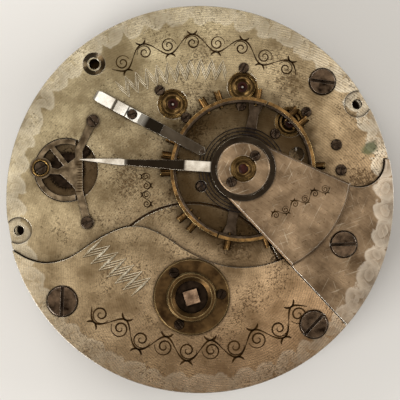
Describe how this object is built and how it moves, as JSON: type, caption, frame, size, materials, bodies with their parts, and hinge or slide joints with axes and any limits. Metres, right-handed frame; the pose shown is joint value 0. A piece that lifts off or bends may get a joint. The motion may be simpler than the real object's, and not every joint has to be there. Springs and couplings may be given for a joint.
{
  "type": "pocket watch movement",
  "caption": "Round full-plate key-wound pocket watch movement with balance cock, hairspring, index regulator, barrel bridge and gear train between two plates.",
  "frame": {"origin": "on the centre arbor, in the plane of the pillar plate's shoulder that sits on the case rim", "axes": "+Z from the dial side to the back of the movement, +X to the cock's foot, +Y to the jewel settings"},
  "size_m": [0.0448, 0.0448, 0.0156],
  "materials": {
    "nickel_plate": "aged nickel-plated brass, satin with patterned finish",
    "brass": "turned brass",
    "gilt": "gilt",
    "ruby": "polished ruby",
    "browned_steel": "browned and blued steel",
    "polished_steel": "polished steel",
    "tool_steel": "cut steel",
    "blued_spring_steel": "blued spring steel",
    "ratchet_cap_brass": "tarnished brass"
  },
  "bodies": {
    "frame": {"pillar_plate": "nickel_plate", "pillars": "brass", "top_plate": "nickel_plate", "barrel_bridge": "nickel_plate", "balance_cock": "nickel_plate", "potance": "brass", "plate_screws": "browned_steel", "cock_screw": "browned_steel", "potance_screws": "browned_steel", "lobe_screws": "browned_steel", "jewel_settings": "gilt", "upper_jewels": "ruby", "setting_screws": "browned_steel", "lower_jewels": "ruby", "balance_cap": "nickel_plate", "balance_cap_setting": "gilt", "balance_cap_jewel": "ruby", "balance_cap_screws": "browned_steel", "regulator_bridge": "polished_steel", "regulator_bridge_screws": "browned_steel", "adjuster_collar": "brass", "stud_arm": "polished_steel", "stud_arm_screw": "browned_steel", "hairspring_stud": "tool_steel", "hairspring": "blued_spring_steel", "click_spring": "blued_spring_steel", "ratchet_cap": "ratchet_cap_brass", "ratchet_cap_screws": "browned_steel", "banking_pins": "brass", "minute_stud": "tool_steel"},
    "barrel": {"barrel": "brass", "barrel_cover": "brass", "mainspring": "blued_spring_steel"},
    "winding_arbor": {"barrel_arbor": "polished_steel", "ratchet_wheel": "tool_steel"},
    "click": {"click": "tool_steel"},
    "centre": {"centre_wheel": "brass", "centre_pinion": "tool_steel", "cannon_pinion": "tool_steel"},
    "third": {"third_wheel": "brass", "third_pinion": "tool_steel"},
    "fourth": {"fourth_wheel": "brass", "fourth_pinion": "tool_steel"},
    "escape": {"escape_wheel": "tool_steel", "escape_pinion": "tool_steel"},
    "lever": {"pallet_fork": "tool_steel", "pallet_arbor": "tool_steel", "pallet_stones": "ruby"},
    "balance": {"balance_rim": "brass", "balance_arms": "tool_steel", "timing_screws": "brass", "balance_staff": "tool_steel", "roller": "tool_steel", "hairspring_collet": "brass"},
    "minute_wheel": {"minute_wheel": "brass"},
    "hour_wheel": {"hour_wheel": "brass"},
    "index": {"regulator_index": "polished_steel", "curb_pins": "brass"},
    "regulator_wheel": {"regulator_wheel": "brass"},
    "adjuster": {"regulator_adjuster": "polished_steel"}
  },
  "joints": [
    {"name": "centre_turn", "type": "hinge", "parent": "frame", "child": "centre", "pos_m": [0, 0, 0.0021], "axis": [0, 0, 1], "continuous": true},
    {"name": "barrel_turn", "type": "hinge", "parent": "frame", "child": "barrel", "pos_m": [-0.00088, -0.01088, 0.0044], "axis": [0, 0, 1], "continuous": true},
    {"name": "third_turn", "type": "hinge", "parent": "frame", "child": "third", "pos_m": [-0.00298, 0.01061, 0.0033], "axis": [0, 0, 1], "continuous": true},
    {"name": "fourth_turn", "type": "hinge", "parent": "frame", "child": "fourth", "pos_m": [0.00481, 0.01254, 0.0048], "axis": [0, 0, 1], "continuous": true},
    {"name": "escape_turn", "type": "hinge", "parent": "frame", "child": "escape", "pos_m": [0.01012, 0.00862, 0.0055], "axis": [0, 0, 1], "continuous": true},
    {"name": "minute_wheel_turn", "type": "hinge", "parent": "frame", "child": "minute_wheel", "pos_m": [-0.00451, -0.00164, -0.0003], "axis": [0, 0, 1], "continuous": true},
    {"name": "hour_wheel_turn", "type": "hinge", "parent": "frame", "child": "hour_wheel", "pos_m": [0, 0, -0.0009], "axis": [0, 0, 1], "continuous": true},
    {"name": "winding_turn", "type": "hinge", "parent": "frame", "child": "winding_arbor", "pos_m": [-0.00088, -0.01088, 0.0081], "axis": [0, 0, 1], "continuous": true},
    {"name": "click_lift", "type": "hinge", "parent": "frame", "child": "click", "pos_m": [0.00214, -0.0121, 0.0081], "axis": [0, 0, 1], "range_deg": [0, 8], "stiffness_Nm_per_rad": 0.000001},
    {"name": "lever_swing", "type": "hinge", "parent": "frame", "child": "lever", "pos_m": [0.00743, 0.00592, 0.0055], "axis": [0, 0, 1], "range_deg": [-5, 5]},
    {"name": "balance_swing", "type": "hinge", "parent": "frame", "child": "balance", "pos_m": [0.0048, 0.0033, 0.0087], "axis": [0, 0, 1], "range_deg": [-290, 290], "stiffness_Nm_per_rad": 0.0000055},
    {"name": "index_turn", "type": "hinge", "parent": "frame", "child": "index", "pos_m": [0.0048, 0.0033, 0.0112], "axis": [0, 0, 1], "range_deg": [0, 11.4]},
    {"name": "regulator_wheel_turn", "type": "hinge", "parent": "frame", "child": "regulator_wheel", "pos_m": [-0.01492, 0.00324, 0.0073], "axis": [0, 0, 1], "range_deg": [-74.1, 0]},
    {"name": "adjuster_turn", "type": "hinge", "parent": "frame", "child": "adjuster", "pos_m": [-0.01771, 0.00346, 0.008], "axis": [0, 0, 1], "range_deg": [0, 185.25]}
  ],
  "couplings": [
    {"joint": "barrel_turn", "follows": "centre_turn", "ratio": -0.16667},
    {"joint": "third_turn", "follows": "centre_turn", "ratio": -8},
    {"joint": "fourth_turn", "follows": "centre_turn", "ratio": 60},
    {"joint": "escape_turn", "follows": "centre_turn", "ratio": -600},
    {"joint": "minute_wheel_turn", "follows": "centre_turn", "ratio": -0.33333},
    {"joint": "hour_wheel_turn", "follows": "centre_turn", "ratio": 0.083333},
    {"joint": "regulator_wheel_turn", "follows": "index_turn", "ratio": -6.5},
    {"joint": "adjuster_turn", "follows": "index_turn", "ratio": 16.25}
  ]
}
